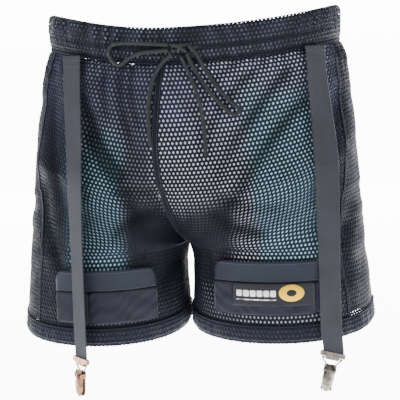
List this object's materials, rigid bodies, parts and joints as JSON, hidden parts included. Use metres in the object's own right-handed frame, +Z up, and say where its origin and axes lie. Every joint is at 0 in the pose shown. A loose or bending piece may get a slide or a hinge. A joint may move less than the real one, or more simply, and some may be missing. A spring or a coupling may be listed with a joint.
{
  "type": "mesh hockey jock shorts",
  "caption": "Loose mesh hockey shorts with drawstring waist, hanging garter clips, sock tabs and a removable cup.",
  "frame": {"origin": "middle of the waist opening, level with the side of the rim", "axes": "+Z up, the wearer faces -Y, the wearer's left is +X"},
  "size_m": [0.427, 0.2484, 0.4474],
  "materials": {
    "braid": "braided cord",
    "cup_plastic": "moulded",
    "dark_knit": "plain polyester knit",
    "hook_tape": "nylon hooks",
    "liner_knit": "fine pale knit",
    "mesh_knit": "open-hole polyester mesh",
    "nickel": "worn nickel plate on steel",
    "patch_print": "printed",
    "rubber": "soft rubber",
    "webbing": "ribbed elastic webbing",
    "white_elastic": "woven elastic",
    "white_knit": "white knit"
  },
  "bodies": {
    "shorts": {"front_panel_left": "mesh_knit", "liner_left": "liner_knit", "back_panel_left": "mesh_knit", "side_panel_left": "dark_knit", "front_panel_right": "mesh_knit", "liner_right": "liner_knit", "back_panel_right": "mesh_knit", "side_panel_right": "dark_knit", "hem_band_left": "dark_knit", "hem_band_right": "dark_knit", "crotch_gusset": "dark_knit", "waist_elastic": "white_elastic", "waistband_casing": "dark_knit", "drawstring_tunnel": "braid", "bow_knot": "braid", "bow_loop_right": "braid", "bow_loop_left": "braid", "cord_end_right": "braid", "cord_end_left": "braid", "tab_base_left": "dark_knit", "tab_strip_left": "webbing", "tab_sewn_left": "dark_knit", "tab_base_right": "dark_knit", "tab_strip_right": "webbing", "tab_sewn_right": "dark_knit", "cup_pocket_front": "white_knit", "cup_pocket_back": "white_knit"},
    "garter_left": {"strap_left": "webbing", "strap_crimp_left": "nickel"},
    "clip_left": {"clip_frame_left": "nickel", "clip_pin_left": "nickel", "clip_pad_left": "rubber"},
    "clip_jaw_left": {"clip_jaw_left": "nickel"},
    "flap_left": {"tab_flap_left": "dark_knit", "tab_hook_left": "hook_tape", "name_patch": "patch_print"},
    "garter_right": {"strap_right": "webbing", "strap_crimp_right": "nickel"},
    "clip_right": {"clip_frame_right": "nickel", "clip_pin_right": "nickel", "clip_pad_right": "rubber"},
    "clip_jaw_right": {"clip_jaw_right": "nickel"},
    "flap_right": {"tab_flap_right": "dark_knit", "tab_hook_right": "hook_tape"},
    "cup": {"cup_shell": "cup_plastic", "cup_rim": "rubber"}
  },
  "joints": [
    {"name": "strap_left_swing", "type": "hinge", "parent": "shorts", "child": "garter_left", "pos_m": [0.149, -0.0599, -0.04741], "axis": [-1, 0, 0], "range_deg": [0, 70]},
    {"name": "clip_left_pivot", "type": "hinge", "parent": "garter_left", "child": "clip_left", "pos_m": [0.16, -0.10375, -0.408], "axis": [0.9744, 0, -0.225], "range_deg": [-80, 80]},
    {"name": "clip_left_jaw", "type": "hinge", "parent": "clip_left", "child": "clip_jaw_left", "pos_m": [0.15685, -0.10595, -0.42164], "axis": [-0.9744, 0, 0.225], "range_deg": [0, 22], "stiffness_Nm_per_rad": 0.02},
    {"name": "tab_left_flap", "type": "hinge", "parent": "shorts", "child": "flap_left", "pos_m": [0.0829, -0.1101, -0.316], "axis": [-1, 0, 0], "range_deg": [0, 150]},
    {"name": "strap_right_swing", "type": "hinge", "parent": "shorts", "child": "garter_right", "pos_m": [-0.138, -0.06804, -0.04963], "axis": [-1, 0, 0], "range_deg": [0, 70]},
    {"name": "clip_right_pivot", "type": "hinge", "parent": "garter_right", "child": "clip_right", "pos_m": [-0.132, -0.11823, -0.408], "axis": [0.6909, -0.7154, -0.1045], "range_deg": [-80, 80]},
    {"name": "clip_right_jaw", "type": "hinge", "parent": "clip_right", "child": "clip_jaw_right", "pos_m": [-0.1346, -0.1187, -0.42192], "axis": [-0.6909, 0.7154, 0.1045], "range_deg": [0, 22], "stiffness_Nm_per_rad": 0.02},
    {"name": "tab_right_flap", "type": "hinge", "parent": "shorts", "child": "flap_right", "pos_m": [-0.0829, -0.1098, -0.3228], "axis": [-1, 0, 0], "range_deg": [0, 150]},
    {"name": "cup_slide", "type": "slide", "parent": "shorts", "child": "cup", "axis": [0, 0, 1], "range_m": [0, 0.13]}
  ]
}
